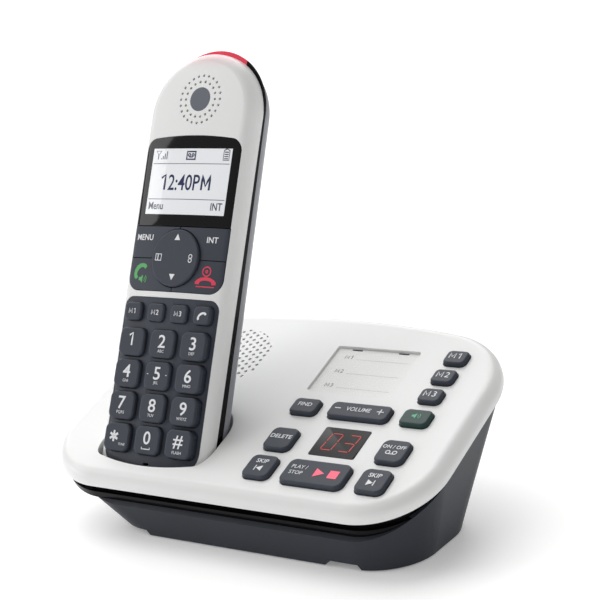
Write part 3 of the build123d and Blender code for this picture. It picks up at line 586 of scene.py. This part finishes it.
# ---------------------------------------------------------------- screen
# A curved gloss window, black around its edge, lies flush in the front shell.  The backlit
# picture of the display below shows in its middle, and is laid on the window.
lens_gloss = paint("lens_gloss", (0.003, 0.003, 0.004), 0.05, shade=0.1, Specular_IOR_Level=0.30)
lens = finished("screen_lens", lens_gloss, edge=0.0003, flat_faces=False)
picture_white = paint("picture_white", (0.66, 0.67, 0.69), 0.08, shade=0.02, Coat_Weight=0.5,
                      Emission_Color=(0.93, 0.96, 1, 1), Emission_Strength=0.22)
navy_dots = paint("navy_dots", (0.012, 0.018, 0.085), 0.1, shade=0.1, Coat_Weight=0.5)
grey_dots = paint("grey_dots", (0.05, 0.055, 0.10), 0.1, shade=0.1, Coat_Weight=0.5)
picture_width, picture_height, picture_cuts = 37.5, 25.6, 20
clock_height, sign_line, rule_line = 6.3, 0.4, 0.26
clock_y, word_y = -0.4, -9.5
bpy.ops.object.select_all(action="DESELECT")
bpy.ops.mesh.primitive_cube_add(size=1)
picture_sheet = bpy.context.object
picture_sheet.data.transform(Matrix.Diagonal((picture_width, picture_height, print_thickness, 1)))
bpy.ops.object.mode_set(mode="EDIT")
bpy.ops.mesh.select_all(action="SELECT")
bpy.ops.mesh.subdivide(number_cuts=picture_cuts)
bpy.ops.object.mode_set(mode="OBJECT")
lens_middle = top_of("lcd_module", face_turn)
lens_middle.z = top_of("screen_lens", face_turn).z
picture = printed("screen_picture", lens, face_turn, lens_middle, [picture_sheet], picture_white)
printed("screen_clock", picture, face_turn, lens_middle, [
    figure_one(-11.4, clock_y, clock_height, weight=0.95),
    drawn_text("2:40P", -1.8, clock_y, clock_height, squeeze=0.79, weight=0.06),
    letter_m(8.6, clock_y, width=3.6, height=clock_height, weight=0.9),
], navy_dots)
signal_bars = [
    drawn_path([(-14.6 + 0.9 * i, 8.6), (-14.6 + 0.9 * i, 9.0 + 0.9 * i)], thin_line) for i in range(4)
]
battery_bars = [
    drawn_path([(15.4, 8.9 + 0.85 * i), (17.2, 8.9 + 0.85 * i)], thin_line) for i in range(4)
]
printed("screen_signs", picture, face_turn, lens_middle, [
    drawn_path([(-18.2, 6.9), (18.2, 6.9)], rule_line),
    drawn_path([(-18.2, -6.9), (18.2, -6.9)], rule_line),
    drawn_text("Menu", -13.9, word_y, 3.0, squeeze=0.82, weight=0.04),
    drawn_text("INT", 14.9, word_y, 3.0, squeeze=0.80, weight=0.04),
    drawn_path([(-17.3, 11.8), (-14.9, 11.8), (-16.1, 10.2)], sign_line, closed=True),
    drawn_path([(-16.1, 10.2), (-16.1, 8.6)], sign_line),
    *signal_bars,
    drawn_path([(15.0, 8.3), (17.6, 8.3), (17.6, 12.0), (16.3, 12.7), (15.0, 12.0)], 0.36, closed=True),
    *battery_bars,
], grey_dots)
printed("screen_tape_sign", picture, face_turn, lens_middle, [
    drawn_path(box(-2.1, 1.9, 8.6, 11.6), 0.8, closed=True),
    ring(-0.95, 10.3, 0.5, 0.5, 12),
    ring(0.75, 10.3, 0.5, 0.5, 12),
    drawn_path([(-0.95, 9.5), (0.75, 9.5)], 0.5),
], navy_dots)

# ---------------------------------------------------------------- control block
# Four soft-touch keys fill a rounded block around a disc that rocks up and down.  Their signs
# are printed in white, green for talk and red for ending a call.
# Red and green inks: real print colours with a faint painted glow added as emission, though the keys
# hold no lamp.
red_ink_painted_glow = paint("red_ink_painted_glow", (0.62, 0.03, 0.07), 0.45, shade=0.06,
                Emission_Color=(1, 0.06, 0.13, 1), Emission_Strength=0.1)
leaf_ink_painted_glow = paint("leaf_ink_painted_glow", (0.07, 0.36, 0.10), 0.45, shade=0.35,
                 Emission_Color=(0.2, 0.8, 0.2, 1), Emission_Strength=0.04)


def control_key(name, *groups):
    """One part of the control block, printed around the middle of the disc."""
    key = finished(name, slate_rubber, edge=0.0003, flat_faces=False)
    middle = top_of("nav_pad", face_turn)
    for number, (ink, items) in enumerate(groups):
        printed(f"{name}_print_{number}", key, face_turn, middle, items, ink)


control_key("key_menu", (white_ink, [drawn_text("MENU", -16.6, 7.7, 2.3, squeeze=0.95, weight=0.05)]))
control_key("key_intercom", (white_ink, [drawn_text("INT", 15.6, 7.5, 2.3, weight=0.05)]))
control_key("key_talk", (leaf_ink_painted_glow, [
    receiver_sign(-17.2, -4.9, 3.7, 45, bow=1.25), *speaker_sign(-15.2, -8.4, 1.2),
]))
control_key("key_end", (red_ink_painted_glow, [
    ring(15.0, -4.4, 1.75, 0.5, 20),
    ring(15.0, -4.4, 0.4, 0.5, 10),
    receiver_sign(15.0, -8.0, 4.6, 0, bow=0.75),
    drawn_path([(11.0, -10.2), (19.0, -10.2)], line),
]))
control_key("nav_pad", (white_ink, [
    drawn_path([(-1.3, 6.8), (1.3, 6.8), (0, 9.2)]),
    drawn_path([(-1.3, -6.2), (1.3, -6.2), (0, -8.6)]),
    drawn_path(box(-9.0, -6.4, -1.2, 1.2), line, closed=True),
    drawn_path([(-7.9, -1.2), (-7.9, 1.2)], line),
    ring(7.4, 0.75, 0.75, 0.36, 12),
    ring(7.4, -0.75, 0.75, 0.36, 12),
]))

# ---------------------------------------------------------------- keypad
# Soft-touch keys come up through the slate panel, which is clipped into the front shell, and
# almost fill its holes.  Figures and letters are printed in white.
finished("keypad_panel", slate_rubber, edge=0.0005, flat_faces=False, angle=50)
key_fill = 0.00018
digit_y, digit_size, letter_size = 0.9, 5.0, 1.15
dot_places, dot_width = (-4.4, 4.4), 0.7


def pad_key(name, *items):
    """Keypad key, spread a little in its hole, with white printing."""
    key = finished(name, slate_rubber)
    spot = top_of(name, face_turn)
    back = face_turn.transposed()
    half = [max(abs((back @ v.co)[i] - spot[i]) for v in key.data.vertices) for i in (0, 1)]
    for vertex in key.data.vertices:
        point = back @ vertex.co
        for i in (0, 1):
            point[i] = spot[i] + (point[i] - spot[i]) * (1 + key_fill / half[i])
        vertex.co = face_turn @ point
    printed(f"{name}_print", key, face_turn, spot, list(items), white_ink)


for number in (1, 2, 3):
    pad_key(f"key_memory_{number}", *memory_name(number, 0, 0, 2.0, weight=0.04))
pad_key("key_redial", receiver_sign(0, 0, 2.3, 32))
letters = {
    "2": "ABC", "3": "DEF", "4": "GHI", "5": "JKL", "6": "MNO", "7": "PQRS", "8": "TUV", "9": "WXYZ",
}
pad_key("key_1", figure_one(0, digit_y, 5.2, weight=0.8))
for number, small in letters.items():
    finding_dots = [drawn_path([(x, 0.6), (x, 0.3)], dot_width) for x in dot_places if number == "5"]
    pad_key(
        f"key_{number}",
        drawn_text(number, 0, digit_y, digit_size, squeeze=1.08, weight=0.07),
        drawn_text(small, 0, -2.8, letter_size),
        *finding_dots,
    )
star_angles, star_width = (30, 90, 150), 0.95
star = [drawn_path(turned([(-2.1, 0), (2.1, 0)], angle, -1.2, 0.2), star_width) for angle in star_angles]
pad_key("key_star", *star, drawn_text("TONE", 2.9, -2.6, 0.95, squeeze=0.9))
pad_key(
    "key_0",
    drawn_text("0", 0, digit_y, digit_size, squeeze=1.04, weight=0.07),
    drawn_path([(-1.9, -2.6), (-1.9, -3.3), (1.9, -3.3), (1.9, -2.6)], 0.4),
)
pad_key(
    "key_hash",
    drawn_text("#", 0, 0.7, digit_size, squeeze=1.1, weight=0.06),
    drawn_text("FLASH", 0, -3.2, letter_size),
)

# ---------------------------------------------------------------- handset, inside
# The display module and the circuit board lie behind the front shell, two sleeved rechargeable
# cells behind the battery door, and the plated charging pads in the foot.
cell_sleeve = paint("cell_sleeve", (0.06, 0.26, 0.12), 0.3, shade=0.15)
coated("lcd_module", dark_module)
coated("handset_circuit_board", green_board)
coated("battery_cells", cell_sleeve)
coated("charge_pads", gold_plate)
